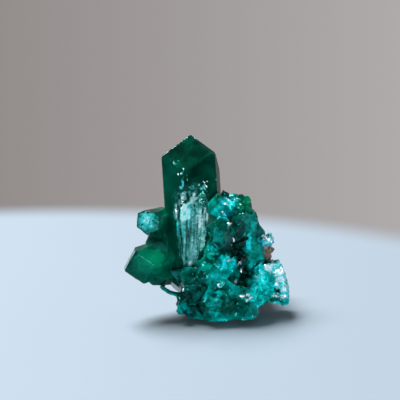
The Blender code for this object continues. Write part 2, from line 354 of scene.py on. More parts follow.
# A crystal's shape for radius 1 and height 0 at its tip: six sides, and three rhombs that meet at the tip
RISE = 0.6153
RING = [(math.cos(math.radians(60 * k)), math.sin(math.radians(60 * k))) for k in range(6)]
FORM_TOP = [(0.0, 0.0, 0.0)]
FORM_TOP += [(x, y, -RISE * (2 if k % 2 == 0 else 1)) for k, (x, y) in enumerate(RING)]
FORM_POINTS = len(FORM_TOP) + len(RING)
FORM_FACES = [(0, 6, 1, 2), (0, 2, 3, 4), (0, 4, 5, 6)]
FORM_FACES += [(1 + k, 7 + k, 7 + (k + 1) % 6, 1 + (k + 1) % 6) for k in range(6)]
FORM_FACES += [tuple(range(12, 6, -1))]


def crystals_mesh(name, rows):
    """One mesh of many small crystals. A row is foot, axis as long as the crystal, radius, turn, tone."""
    corners = []
    faces = []
    tones = []
    for foot, axis, radius, turn, tone in rows:
        height = axis.length
        z = axis / height
        side = Vector((0.0, -1.0, 0.0)) if abs(z.y) < 0.8 else Vector((1.0, 0.0, 0.0))
        x = (side - side.dot(z) * z).normalized()
        y = z.cross(x)
        x, y = x * math.cos(turn) + y * math.sin(turn), y * math.cos(turn) - x * math.sin(turn)
        first = len(corners)
        for a, b, c in FORM_TOP:
            corners.append(foot + (x * a + y * b) * radius + z * (height + c * radius))
        for a, b in RING:
            corners.append(foot + (x * a + y * b) * radius)
        faces.extend([tuple(first + k for k in face) for face in FORM_FACES])
        tones.extend([tone] * FORM_POINTS)
    mesh = bpy.data.meshes.new(name)
    mesh.from_pydata([tuple(corner) for corner in corners], [], faces)
    note(mesh, "tone", tones)
    return mesh


# How small free crystals stand: lean, pull upwards, and for radius 1 their height and their foot's depth
LEAN = 0.5
PULL = 0.3
TALL = (0.8, 1.8)
ROOT = 0.9
THIRD_OF_A_TURN = 2.1


def scatter(rng, mesh, count, smallest, largest):
    """Small crystals that stand on a mesh, above the floor: rows for crystals_mesh."""
    points, normals = arrays_of(mesh)
    rows = []
    for _ in range(count):
        index = max(math.ceil(rng.random() * len(points)) - 1, 0)
        normal = Vector(normals[index])
        spot = Vector(points[index])
        radius = smallest + (largest - smallest) * rng.random() ** 2
        way = Vector((rng.uniform(-1, 1), rng.uniform(-1, 1), rng.uniform(-1, 1)))
        axis = (normal + LEAN * way + Vector((0.0, 0.0, PULL))).normalized()
        height = radius * rng.uniform(*TALL)
        foot = spot - axis * radius * ROOT
        way = axis * (height + radius * ROOT)
        if min(foot.z, foot.z + way.z) > radius:
            rows.append((foot, way, radius, rng.uniform(0, THIRD_OF_A_TURN), rng.random()))
    return rows


# Materials


class Nodes:
    """A node tree, with short ways to add nodes."""

    def __init__(self, tree):
        self.tree = tree

    def new(self, kind, **values):
        """A new node with its inputs filled."""
        made = self.tree.nodes.new("ShaderNode" + kind)
        self.put(made, **values)
        return made

    def put(self, node, **values):
        """Fills a node's inputs, by their names with low lines for blanks."""
        for name, value in values.items():
            self.fill(node.inputs[name.replace("_", " ")], value)

    def link(self, source, socket):
        self.tree.links.new(source, socket)

    def fill(self, socket, value):
        """Gives a socket a number or a colour, or links it to another socket."""
        if isinstance(value, tuple):
            socket.default_value = (*value, 1.0)
        elif isinstance(value, float):
            socket.default_value = value
        else:
            self.link(value, socket)

    def steps(self, value, low, high, to_low=0.0, to_high=1.0):
        """A value's range from low to high brought softly to another range."""
        made = self.new("MapRange", Value=value, From_Min=low, From_Max=high, To_Min=to_low, To_Max=to_high)
        made.interpolation_type = "SMOOTHSTEP"
        return made.outputs["Result"]

    def line(self, value, low, high, to_low=0.0, to_high=1.0):
        """A value's range from low to high brought evenly to another range."""
        result = self.steps(value, low, high, to_low, to_high)
        result.node.interpolation_type = "LINEAR"
        return result

    def mix(self, share, first, second):
        """The first colour where the share is 0, and the second where it is 1."""
        made = self.new("Mix")
        made.data_type = "RGBA"
        self.link(share, made.inputs["Factor"])
        inputs = [socket for socket in made.inputs if socket.type == "RGBA"]
        self.fill(inputs[0], first)
        self.fill(inputs[1], second)
        return [socket for socket in made.outputs if socket.type == "RGBA"][0]


class Look(Nodes):
    """The node tree of one material."""

    def __init__(self, name):
        self.material = bpy.data.materials.new(name)
        self.material.use_nodes = True
        super().__init__(self.material.node_tree)
        self.shader = self.tree.nodes["Principled BSDF"]
        self.place = self.new("TexCoord").outputs["Object"]

    def set(self, **values):
        self.put(self.shader, **values)

    def noise(self, size, detail=2.0, roughness=0.5, distortion=0.0, stretch=(1.0, 1.0, 1.0)):
        """Noise from 0 to 1 with features of about size millimetres, longer by the stretch."""
        scaled = self.new("Mapping", Vector=self.place)
        scaled.inputs["Scale"].default_value = [1.0 / METRES / size / part for part in stretch]
        made = self.new("TexNoise", Vector=scaled.outputs["Vector"], Scale=1.0)
        self.put(made, Detail=detail, Roughness=roughness, Distortion=distortion)
        return made.outputs["Fac"]

    def number(self, name):
        """The number that was noted for each point under a name."""
        made = self.new("Attribute")
        made.attribute_name = name
        return made.outputs["Fac"]

    def spread(self, noise, half):
        """A noise's middle range brought to a range from minus half to plus half."""
        return self.line(noise, 0.3, 0.7, -half, half)

    def maths(self, kind, first, second):
        made = self.new("Math")
        made.operation = kind
        self.link(first, made.inputs[0])
        self.link(second, made.inputs[1])
        return made.outputs[0]

    def sum(self, *values):
        """The values together, held between 0 and 1."""
        total = values[0]
        for value in values[1:]:
            total = self.maths("ADD", total, value)
        total.node.use_clamp = True
        return total

    def ramp(self, value, stops):
        """The colours of a list of places from 0 to 1 and their colours."""
        made = self.new("ValToRGB", Fac=value)
        stop = made.color_ramp.elements
        while len(stop) < len(stops):
            stop.new(0.5)
        for element, (place, colour) in zip(stop, stops):
            element.position = place
            element.color = (*colour, 1.0)
        return made.outputs["Color"]

    def bump(self, height, depth, strength=1.0):
        """A surface's small relief, from a height of 0 to 1 that is depth millimetres deep."""
        made = self.new("Bump", Height=height, Strength=strength, Distance=depth * METRES)
        self.set(Normal=made.outputs["Normal"])

    def absorb(self, colour, density):
        """Light fades on its way through: density for each metre, least in the given colour."""
        made = self.new("VolumeAbsorption", Color=colour, Density=density)
        self.put(self.tree.nodes["Material Output"], Volume=made.outputs["Volume"])


# How colours change as a growth gets lighter, from 0 to 1
TEAL = [
    (0, (0, 0.003, 0.002)), (0.15, (0, 0.018, 0.013)), (0.3, (0, 0.085, 0.066)), (0.5, (0, 0.27, 0.235)),
    (0.66, (0, 0.55, 0.54)), (0.8, (0, 0.9, 0.93)), (0.92, (0.1, 0.97, 1)), (1, (0.6, 1, 1)),
]
GREEN = [
    (0, (0, 0.003, 0.001)), (0.15, (0, 0.02, 0.009)), (0.3, (0, 0.085, 0.045)), (0.5, (0, 0.25, 0.11)),
    (0.66, (0, 0.5, 0.22)), (0.8, (0, 0.8, 0.42)), (1, (0.4, 1, 0.8)),
]
BLUE = [
    (0, (0, 0.002, 0.003)), (0.3, (0, 0.035, 0.07)), (0.5, (0, 0.15, 0.27)), (0.66, (0, 0.36, 0.6)),
    (0.8, (0.1, 0.65, 0.9)), (1, (0.75, 0.9, 1)),
]


def mass_look(name, grain=0.08):
    """Fine grown crystals: teal that turns to green or blue, with painted glints and glitter, and uneven by
    the grain.
    """
    look = Look(name)
    level = look.number("level")
    cloud = look.spread(look.noise(1.6, 3.0, 0.6, 0.5), grain)
    fine = look.spread(look.noise(0.4, 3.0, 0.7, 0.0, (1.0, 1.0, 0.4)), grain * 0.7)
    # Painted glitter: small light specks, stronger where the growths are light
    painted_glitter = look.steps(look.noise(0.7, 4.0, 0.75, 1.5), 0.56, 0.66)
    painted_glitter = look.maths("MULTIPLY", painted_glitter, look.line(level, 0.4, 0.8, 0.0, 0.25))
    tone = look.line(look.number("tone"), 0.0, 1.0, -grain, grain)
    level = look.sum(level, cloud, painted_glitter, tone, fine)
    hue = look.number("hue")
    colour = look.mix(look.line(hue, 0.0, 1.0), look.ramp(level, TEAL), look.ramp(level, GREEN))
    colour = look.mix(look.line(hue, 0.0, -1.0), colour, look.ramp(level, BLUE))
    # Painted glints: the white places, broken up by a fine noise and partly bluish
    white = look.number("white")
    sparkle = look.steps(look.noise(0.25, 2.0, 0.6), 0.42, 0.50, 0.05, 1.0)
    bluish = look.mix(look.steps(look.noise(0.6, 2.0, 0.6), 0.45, 0.60), (1.0, 1.0, 1.0), (0.55, 0.85, 1.0))
    colour = look.mix(look.maths("MULTIPLY", white, sparkle), colour, bluish)
    look.set(Base_Color=colour, Roughness=0.08, IOR=INDEX)
    look.set(Subsurface_Weight=look.steps(white, 0.0, 1.0, 0.5, 0.0), Subsurface_Scale=0.25 * METRES)
    look.shader.inputs["Subsurface Radius"].default_value = (0.2, 1.0, 0.9)
    look.set(Specular_Tint=(0.08, 0.9, 0.86), Specular_IOR_Level=0.35)
    look.bump(look.noise(0.5, 3.0, 0.6), 0.04, 0.5)
    return look.material


# Clear dioptase
INDEX = 1.67
CLEAR = [
    (0, (0, 0.015, 0.009)), (0.25, (0, 0.08, 0.05)), (0.5, (0, 0.25, 0.155)), (0.75, (0, 0.55, 0.29)),
    (1, (0, 0.95, 0.45)),
]


def clear_look(name, transmission, density):
    """A clear green crystal, with faint clouds and upright lines."""
    look = Look(name)
    # The noted level holds the painted light and shade
    level = look.sum(look.number("level"), look.spread(look.noise(2.2, 3.0, 0.6, 0.5), 0.12))
    look.set(Base_Color=look.ramp(level, CLEAR), Roughness=0.08, IOR=INDEX)
    look.set(Transmission_Weight=transmission, Specular_Tint=(0.1, 0.6, 0.5), Specular_IOR_Level=0.3)
    look.bump(look.noise(0.8, 3.0, 0.6, 0.0, (1.0, 1.0, 6.0)), 0.02, 0.5)
    look.absorb((0.2, 0.83, 0.70), density)
    return look.material


def rock_look():
    look = Look("rock")
    cloud = look.noise(2.0, 4.0, 0.65)
    fine = look.noise(0.3, 3.0, 0.7)
    colour = look.mix(look.steps(cloud, 0.35, 0.65), (0.16, 0.10, 0.075), (0.42, 0.31, 0.25))
    colour = look.mix(look.steps(fine, 0.6, 0.75), colour, (0.5, 0.4, 0.33))
    look.set(Base_Color=colour, Roughness=0.85)
    look.bump(look.noise(0.35, 5.0, 0.7), 0.12)
    return look.material


def piece(name, mesh, slot, material, *nodes):
    """A finished mesh as a piece of the specimen, in place of the nodes it stands for."""
    mesh.transform(Matrix.Scale(METRES, 4))
    mesh.name = name
    mesh.materials.clear()
    mesh.materials.append(material)
    made = shown(name, mesh)
    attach(made, "root")
    if nodes:
        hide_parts(*nodes)


def broken(mesh, grow, levels, seed):
    """Breaks a finely divided mesh into facets. Each level is a size, a tilt and a step."""
    points, normals = arrays_of(mesh)
    out = np.full(len(points), grow)
    tones = np.zeros(len(points))
    for index, (size, tilt, step) in enumerate(levels):
        moved, tone = facets(points, size, tilt, step, seed + index)
        out += moved
        tones += tone / len(levels)
    points = points + normals * out[:, None]
    points[:, 2] = np.maximum(points[:, 2], 0.0)
    move(mesh, points)
    note(mesh, "tone", tones)
    return mesh


# The specimen

# How light the teal growths are, as seen in the photograph's view: partly their own colour, partly painted
# light and shade. The near-black patches are painted shade in the hollow and the clefts, which the mesh
# fills.
# Each patch has its middle, its half sizes, its turn in degrees, its lightness from 0 to 1, and its hue:
# from blue at -1 to green at 1.
PATCHES = [
    (212, 228, 9, 32, 0, 0.34, 0.45), (217, 238, 6, 9, 0, 0.44, 0.1), (206, 262, 9, 13, 20, 0.5, 0.35),
    (192, 284, 15, 13, 0, 0.27, 0.2), (186, 297, 9, 8, 0, 0.2, 0), (214, 197, 8, 8, 0, 0.34, 0.8),
    (228, 190, 7, 4, 0, 0.25, 0.3), (254, 226, 9, 22, -12, 0.4, 0.1), (251, 226, 4, 6, 0, 0.56, 0),
    (257, 211, 4, 6, 0, 0.3, 0.2), (263, 238, 6, 8, 0, 0.28, 0.1), (247, 214, 4, 6, 0, 0.3, 0.2),
    (256, 250, 7, 8, 0, 0.48, 0.2), (236, 222, 8, 14, 0, 0.29, 0.45), (224, 228, 6, 8, 0, 0.3, 0.3),
    (246, 202, 8, 9, 0, 0.39, 1), (247, 203, 3, 3, 0, 0.5, 1), (228, 205, 10, 9, -20, 0.58, 0),
    (229, 201, 8, 3, -25, 0.72, 0), (224, 214, 6, 4, 0, 0.72, -0.3), (229, 213, 5, 2.5, 10, 0.58, -0.8),
    (217, 211, 4, 5, 0, 0.62, 0), (211, 203, 4, 6, 0, 0.5, 0.3), (229, 248, 15, 11, 10, 0.19, 0),
    (243, 252, 6, 18, -4, 0.03, 0.2), (247, 279, 7, 18, 4, 0.03, 0.3), (240, 232, 4, 10, 0, 0.1, 0.1),
    (247.5, 241, 2.8, 13, -3, 0.72, -0.1), (214, 250, 6, 2.5, -20, 0.6, 0), (227, 263, 9, 9, 0, 0.64, 0),
    (223, 265, 4, 6, -20, 0.84, 0), (230, 257, 5, 3, -30, 0.8, -0.1), (223, 281, 12, 7, 0, 0.5, 0),
    (215, 274, 4, 8, 0, 0.58, 0), (212, 299, 10, 8, 0, 0.5, 0), (213, 292, 8, 3, 0, 0.58, 0),
    (228, 306, 9, 9, 0, 0.24, 0.3), (232, 290, 13, 2.2, 0, 0.44, 0), (240, 297, 14, 3.4, 18, 0.36, 0.05),
    (245, 313, 8, 9, 0, 0.38, 0), (234, 319, 8, 4, 0, 0.36, 0.1), (214, 314, 5, 5, 0, 0.52, 0),
    (190, 308, 10, 8, 0, 0.24, -0.1), (184, 304, 4, 4, 0, 0.5, -0.1), (190, 308, 3, 3, 0, 0.42, -0.3),
    (203, 306, 3, 8, 0, 0.14, 0.1), (268, 282, 22, 26, 0, 0.62, 0), (260, 276, 6, 16, 0, 0.71, 0),
    (263, 297, 10, 4, 0, 0.6, 0.1), (277, 268, 10, 7, 0, 0.86, -0.1), (284, 286, 5, 12, 0, 0.76, -0.3),
    (277, 293, 3, 4, 0, 0.25, 0.3), (275, 301, 12, 2.5, 0, 0.34, 0.2), (269, 263, 5, 4, 0, 0.1, 0.6),
    (268, 240, 8, 8, 0, 0.7, -0.5), (264, 236, 3, 5, 0, 0.35, -0.5),
]
# Where glints stand, on the crystal mass, the turquoise block and the rim druse: painted glints, almost
# white, in the growths' colour, and tiny crystal ends that reflect the lights
MASS_GLINTS = [
    (242, 296, 2.4, 1, 0), (248, 295, 2, 1.6, 20), (251, 298, 1.6, 1.2, 0), (247, 300, 1.4, 1, 0),
    (229, 223.5, 1.6, 1.2, 0), (234, 240, 0.5, 2.4, 20), (240, 262, 0.7, 2.4, -20),
    (241, 271, 0.6, 1.8, -15), (236, 282, 0.5, 1.8, -10), (229, 260, 1.6, 0.9, 30),
    (219, 286, 0.5, 2.4, 25), (183, 289, 0.5, 2.6, -15), (227, 199, 2.4, 0.6, -30),
    (226, 204, 1.8, 0.6, -15), (222, 212, 1.2, 0.6, 0),
]
BLOCK_GLINTS = [
    (268, 267, 5, 2.8, 0), (279, 271, 5, 3.2, 30), (281, 279, 4.4, 3.4, 0), (284, 287, 2.4, 4.6, 0),
    (284, 296, 2.4, 2.4, 0), (275, 296, 3, 0.8, -5), (272, 262, 0.8, 2.6, 0), (277, 284, 1.8, 2.6, 0),
]
RIM_GLINTS = [(265, 237, 2.2, 2.0, 0), (270, 240, 2.0, 2.8, 0), (266, 243, 1.0, 0.8, 0)]
# The block's right side, which is full of specks
BLOCK_SPECKS = [(280, 282, 7, 20, 0)]


def painted(mesh, patches, base, seed, ragged=1.0):
    """A lightness and a hue for each point. Patches have soft, ragged edges, and fade at the back."""
    points, normals = arrays_of(mesh)
    x, y = seen(points)
    x = x + (noise(points, 1.6, seed) * 4.0 + noise(points, 0.6, seed + 1) * 2.5) * ragged
    y = y + (noise(points, 1.6, seed + 2) * 4.0 + noise(points, 0.6, seed + 3) * 2.5) * ragged
    front = held((facing(normals) + 0.25) / 0.3)
    level = base + noise(points, 3.5, seed + 4) * 0.15
    hue = noise(points, 4.0, seed + 5) * 0.4
    for *oval, light, tint in patches:
        share = held((1.25 - spread(x, y, *oval)) / 0.5) * front
        level += (light - level) * share
        hue += (tint - hue) * share
    return level, hue


def spread(x, y, middle_x, middle_y, half_x, half_y, turn):
    """How far places are from the middle of a turned oval, where 1 is its rim."""
    along, across = math.cos(math.radians(turn)), math.sin(math.radians(turn))
    dx, dy = x - middle_x, middle_y - y
    return np.hypot((dx * along + dy * across) / half_x, (dy * along - dx * across) / half_y)


def cracks(points, size, seed, wide):
    """Thin wandering lines, from 0 to 1."""
    return held(1.0 - np.abs(noise(points, size, seed)) / wide)


def marked(mesh, base, seed, rounds=0):
    """Notes a mesh's lightness, hue and almost white painted glints. Rounds of evening find hollows to
    paint in shade.
    """
    level, hue = painted(mesh, PATCHES, base, seed)
    # Painted shade darkens the hollows and painted light lightens the ridges
    if rounds:
        level -= np.clip(hollows(mesh, rounds) / 0.25, -1.0, 1.3) * (0.06 + level * 0.22)
    points, normals = arrays_of(mesh)
    level += cracks(points, 0.9, seed + 20, 0.1) * 0.05 - cracks(points, 0.9, seed + 21, 0.1) * 0.07
    x, y = seen(points)
    x = x + noise(points, 0.7, seed + 7) * 1.2
    y = y + noise(points, 0.7, seed + 8) * 1.2
    broken_up = noise(points, 0.3, seed + 9) * 1.1
    # Painted glints: almost white places in the glint ovals, on the side that faces the camera
    white = np.zeros(len(points))
    for glint in MASS_GLINTS + BLOCK_GLINTS + RIM_GLINTS:
        white = np.maximum(white, held((1.1 - spread(x, y, *glint) + broken_up) / 0.3))
    note(mesh, "level", level - 0.02)
    note(mesh, "hue", hue)
    note(mesh, "white", white * held((facing(normals) + 0.1) / 0.2))


# The tall crystal's etched scar in the photograph's view: its outline, and where its grooves would meet
SCAR = [
    (186, 189), (177, 194), (172, 205), (172.5, 225), (175, 242), (178, 256), (182, 267), (186, 274),
    (190, 270), (197, 262), (203, 250), (208, 232), (210, 214), (209, 200), (204, 190), (195, 186),
]
SCAR_MEET = (188.0, 345.0)


def inside(x, y, outline):
    """How far places lie inside an outline: more than nothing inside, less outside."""
    far = np.full(len(x), np.inf)
    within = np.zeros(len(x), bool)
    for (ax, ay), (bx, by) in zip(outline, outline[1:] + outline[:1]):
        dx, dy = bx - ax, by - ay
        along = held(((x - ax) * dx + (y - ay) * dy) / (dx * dx + dy * dy))
        far = np.minimum(far, np.hypot(x - ax - along * dx, y - ay - along * dy))
        if ay != by:
            within ^= ((ay > y) != (by > y)) & (x < (bx - ax) * (y - ay) / (by - ay) + ax)
    return np.where(within, far, -far)


def striations(points, seed):
    """Long upright grooves that draw together downwards, from 0 to 1."""
    x, y = seen(points)
    fan = (x - SCAR_MEET[0]) / (SCAR_MEET[1] - y) * 100.0
    wander = noise(points, 2.5, seed + 5) * 1.3 + noise(points, 0.8, seed + 6) * 0.4
    total = np.zeros(len(points))
    for index, (width, long, share) in enumerate(((2.6, 30.0, 0.30), (1.2, 14.0, 0.38), (0.55, 8.0, 0.32))):
        flat = np.stack([fan + wander, y * width / long, np.zeros(len(x))], -1)
        total += share * noise(flat, width, seed + index * 3)
    return held(0.5 + total * 1.5)


def skin(mesh, depth, out):
    """The part of a mesh where depth isn't below 0, moved outwards: a thin surface on it."""
    points, normals = arrays_of(mesh)
    move(mesh, points + normals * out[:, None])
    shape = bmesh.new()
    shape.from_mesh(mesh)
    shape.verts.ensure_lookup_table()
    outside = [vert for vert in shape.verts if depth[vert.index] < 0.0]
    bmesh.ops.delete(shape, geom=outside, context="VERTS")
    shape.to_mesh(mesh)
    shape.free()
    return mesh


# How light the scar is: its own frosted grey-teal, with painted highlight in its white streaks. Patches as
# above
SCAR_PATCHES = [
    (183, 250, 9, 22, 0, 0.52, 0.3), (190, 258, 6, 14, -20, 0.62, 0.1), (177, 240, 4, 20, 0, 0.5, 0.6),
    (195, 232, 6, 12, 0, 0.6, 0.1), (188, 230, 5, 11, 0, 0.38, 0.5), (177, 230, 4, 8, 0, 0.52, 1),
    (176, 224, 3, 2, 0, 0.74, 1), (204, 203, 5, 7, 0, 0.4, 0.6), (198, 190, 9, 4, 0, 0.34, 0.6),
    (188, 190, 3, 3, 0, 0.62, 1), (202, 219, 7.5, 12, 5, 0.78, 0), (206, 214, 3, 6, 0, 0.86, 0),
    (197, 209, 4, 5, 0, 0.62, 0.3), (193.5, 199.5, 4.5, 6, 0, 0.84, 0), (187.3, 197, 1, 6, 0, 0.15, 0.8),
    (184.5, 211.5, 7, 8.5, 0, 0.96, 1), (188, 211, 3, 3.5, 0, 1, 1), (182, 209, 3, 3, 0, 1, 1),
    (183, 217, 4, 2.5, 0, 0.98, 1), (180, 206, 1.6, 2, 0, 0.96, 0.3), (184, 213, 1.4, 2.2, 0, 0.62, 1),
    (182.2, 198, 1.9, 7, 8, 0.97, 0), (184.5, 193, 2, 3, 0, 0.9, 0), (178.6, 212, 0.9, 8, 0, 0.1, 0.8),
    (175.4, 211, 1.3, 9, 0, 0.98, 0), (176.5, 197, 2.6, 5, 0, 0.28, 0.8), (205, 243, 3, 8, 25, 0.6, 0),
]
# How light the clear crystals are, mostly painted light and shade: lighter left faces, a glow that
# brightens to the middle of the left lower crystal, and its dark rims and neck. Patches without a hue
CLEAR_LIGHT_AND_SHADE = [
    (170, 185, 10, 34, 0, 0.52), (163, 196, 4, 20, 0, 0.6), (196, 156, 13, 20, 0, 0.3),
    (176, 152, 10, 8, 35, 0.3), (203, 180, 10, 18, 0, 0.46), (160, 224, 6, 14, 0, 0.45),
    (150, 208, 8, 3, 0, 0.35), (155, 240, 10, 5, 0, 0.22), (148, 234, 8, 3, 0, 0.45),
    (150, 262, 22, 20, 0, 0.5), (150, 263, 18, 14, -15, 0.6), (153, 260, 14, 11, -15, 0.7),
    (156, 258, 10, 9, -15, 0.8), (158, 256, 6, 7, 0, 0.88), (147, 266, 6, 4, 0, 0.66),
    (140, 248, 3, 12, -35, 0.35), (170, 260, 5, 22, 0, 0.5), (163, 281, 8, 5, 0, 0.28),
]
# Small light flecks on the tall crystal, partly its own chips and streaks, partly painted glints: the small
# dense ones at its tip and front edge. Each has its middle, half sizes, turn, and how closely they stand
FLECKS = [
    (176, 166, 3, 6, 30, 0.6), (183, 178, 2.4, 11, 0, 0.75), (183.4, 169, 1.1, 1.1, 0, 1.6),
    (181.5, 173.5, 1.2, 1.1, 0, 1.6), (177.6, 174.4, 1.2, 0.8, 0, 1.4), (173.7, 163, 1, 2.2, 15, 1.2),
    (178, 161, 1.4, 0.8, 0, 1.1), (183.5, 184, 1.2, 5, 0, 1.1), (203, 188, 7, 5, 0, 0.75),
    (192, 187, 7, 4, 0, 0.7), (205.3, 185, 0.8, 4.5, 30, 1.6), (198.7, 184.5, 0.8, 2.4, -20, 1.5),
    (201.5, 189, 2.4, 0.8, 20, 1.4), (195.5, 138.3, 2, 0.9, -25, 1.5), (181, 188, 4, 4, 0, 0.9),
    (216, 176, 2, 14, 5, 0.5), (202, 150, 1.2, 0.8, 0, 0.9), (171, 184, 3, 6, 0, 0.35),
]
# Small crystals on the foot of the left lower crystal: foot, tip, radius, turn
LEFT_SMALL = [
    ((-8.9, -1.6, 14.4), (-7.9, -1.3, 17.0), 0.6, 0.3), ((-9.4, -2.6, 14.6), (-9.6, -3.6, 16.3), 0.5, 0.9),
    ((-10.3, -2.8, 7.9), (-9.0, -3.9, 6.1), 0.5, 0.2), ((-9.6, -3.0, 7.8), (-8.2, -4.2, 5.8), 0.5, 0.8),
    ((-10.8, -2.4, 8.2), (-9.9, -3.4, 6.6), 0.5, 1.4), ((-7.9, -3.8, 8.6), (-7.2, -5.2, 7.6), 0.4, 0.5),
    ((-11.4, -2.2, 8.8), (-10.9, -3.2, 7.0), 0.4, 1.1),
]


def painted_clear_light(mesh, base, seed):
    """Notes the lightness of a clear crystal, with its painted light and shade."""
    level, _ = painted(mesh, [(*patch, 0.0) for patch in CLEAR_LIGHT_AND_SHADE], base, seed)
    note(mesh, "level", level - 0.04)


def scar_mesh(main):
    """The etched surface in the scar: the part of the tall crystal's front in the outline, with grooves."""
    mesh = main.copy()
    points, normals = arrays_of(mesh)
    x, y = seen(points)
    ragged = noise(points, 1.2, 71) * 2.2 + noise(points, 0.5, 72) * 1.2
    depth = inside(x, y, SCAR) + ragged
    depth[normals[:, 1] > -0.1] = -5.0
    groove = striations(points, 80)
    level = held(depth / 3.0)
    chips, luck = facets(points, 0.7, 0.4, 0.08, 77)
    upper = held((222.0 - y) / 20.0)
    lines = cracks(points, 0.7, 78, 0.12) * (0.3 + upper * 0.7)
    note(mesh, "streak", groove * (1.0 - upper * 0.7) + luck * upper * 0.7 - lines * 0.8)
    note(mesh, "edge", level)
    light, hue = painted(mesh, SCAR_PATCHES, 0.55, 75, 0.3)
    note(mesh, "level", light + noise(points, 0.35, 83) * 0.14)
    note(mesh, "hue", held(hue))
    out = -0.1 + level * 0.14 + level * (groove - 0.35) * 0.12 + level * chips * (0.15 + upper * 0.7)
    return skin(mesh, depth + 0.8, out)


def flecks_mesh(main):
    """The small light flecks that lie on the tall crystal, some of them painted glints."""
    mesh = main.copy()
    points, normals = arrays_of(mesh)
    x, y = seen(points)
    cover = np.zeros(len(points))
    for *oval, share in FLECKS:
        cover = np.maximum(cover, held(1.3 - spread(x, y, *oval)) * share)
    depth = cover + noise(points, 0.3, 131) * 0.4 + noise(points, 1.0, 132) * 0.2 - 0.6
    depth[normals[:, 1] > -0.1] = -5.0
    note(mesh, "streak", 0.5 + noise(points, 0.6, 133) * 0.5)
    note(mesh, "edge", held(depth / 0.15))
    note(mesh, "level", 0.35 + cover * 0.42)
    note(mesh, "hue", np.full(len(points), 0.7))
    return skin(mesh, depth, 0.01 + np.clip(depth, 0.0, 0.2) * 0.3)


# The left upper crystal's end face: where it looks, and its bright places with their strength
END_FACING = (-0.262, -0.957, 0.121)
END_BRIGHT = [
    (147.5, 219, 6, 7, 20, 1), (144, 226, 4, 4, 0, 0.7), (151, 226, 2.5, 2.5, 0, 0.9),
    (152.5, 213.5, 3, 3, 0, 0.7),
]


def end_mesh(crystal):
    """The pitted end face of the left upper crystal."""
    mesh = crystal.copy()
    points, normals = arrays_of(mesh)
    depth = (normals @ np.array(END_FACING) - 0.85) * 12.0
    edge = held(depth)
    x, y = seen(points)
    x = x + noise(points, 0.7, 95) * 1.6
    y = y + noise(points, 0.7, 96) * 1.6
    bright = np.zeros(len(points))
    for *oval, strength in END_BRIGHT:
        bright = np.maximum(bright, held(1.4 - spread(x, y, *oval)) * strength)
    coarse, luck = facets(points, 0.5, 0.3, 0.06, 90)
    note(mesh, "tone", luck)
    note(mesh, "bright", bright)
    return skin(mesh, depth, 0.06 + edge * coarse)


END = [
    (0, (0, 0.12, 0.105)), (0.2, (0, 0.28, 0.245)), (0.45, (0.01, 0.56, 0.53)), (0.7, (0.08, 0.8, 0.8)),
    (0.85, (0.35, 0.97, 1)), (1, (0.8, 1, 1)),
]


def end_look():
    look = Look("pitted_end")
    level = look.line(look.number("bright"), 0.0, 1.0, 0.16, 0.72)
    cloud = look.spread(look.noise(0.6, 3.0, 0.65, 0.4), 0.13)
    tone = look.line(look.number("tone"), 0.0, 1.0, -0.07, 0.07)
    fine = look.spread(look.noise(0.22, 2.0, 0.7), 0.14)
    look.set(Base_Color=look.ramp(look.sum(level, cloud, tone, fine), END), Roughness=0.2)
    look.bump(look.noise(0.2, 3.0, 0.6), 0.05, 0.7)
    return look.material


FROST = [
    (0, (0, 0.02, 0.016)), (0.3, (0, 0.11, 0.095)), (0.5, (0.03, 0.27, 0.255)), (0.7, (0.12, 0.46, 0.45)),
    (0.85, (0.3, 0.7, 0.69)), (1, (0.8, 0.95, 0.98)),
]


def frost_look():
    """An etched surface, with upright streaks and a dark rim."""
    look = Look("frosted")
    streak = look.line(look.number("streak"), 0.0, 1.0, -0.25, 0.25)
    fine = look.spread(look.noise(0.3, 2.0, 0.6, 0.0, (1.0, 1.0, 0.12)), 0.12)
    cloud = look.spread(look.noise(1.0, 3.0, 0.65, 0.3, (1.0, 1.0, 0.5)), 0.12)
    level = look.sum(look.number("level"), streak, fine, cloud)
    colour = look.mix(look.number("hue"), look.ramp(level, FROST), look.ramp(level, TEAL))
    colour = look.mix(look.number("edge"), (0.0, 0.09, 0.07), colour)
    look.set(Base_Color=colour, Roughness=0.3, Specular_IOR_Level=0.3)
    look.bump(look.noise(0.2, 3.0, 0.6, 0.0, (1.0, 1.0, 0.1)), 0.06, 0.7)
    return look.material


# The two ways that the small mirror-like crystal ends look, and how far they reach below and above the mesh
SHINING = (Vector((-0.269, -0.515, 0.814)), Vector((0.11, -0.98, 0.155)))
SHINING_REACH = (-0.4, 0.12)
# Where they stand on the tall crystal and in its scar: middle, half sizes and turn of ovals
MAIN_GLINTS = [
    (183.4, 169, 0.8, 0.8, 0), (181.5, 173.8, 1, 0.7, 0), (177.6, 174.4, 0.8, 0.5, 0),
    (173.7, 162, 0.5, 1, 0), (205.2, 184.5, 0.5, 3.6, 30), (198.7, 184.5, 0.6, 1.6, -20),
    (195.4, 138.4, 1.4, 0.6, -25), (207, 181, 0.4, 2.2, 0),
]
SCAR_GLINTS = [
    (182.4, 197, 1, 6, 5), (175.8, 210, 0.7, 7, 0), (188.5, 210, 1.6, 2.4, 0), (181, 208, 1.6, 2, 0),
]


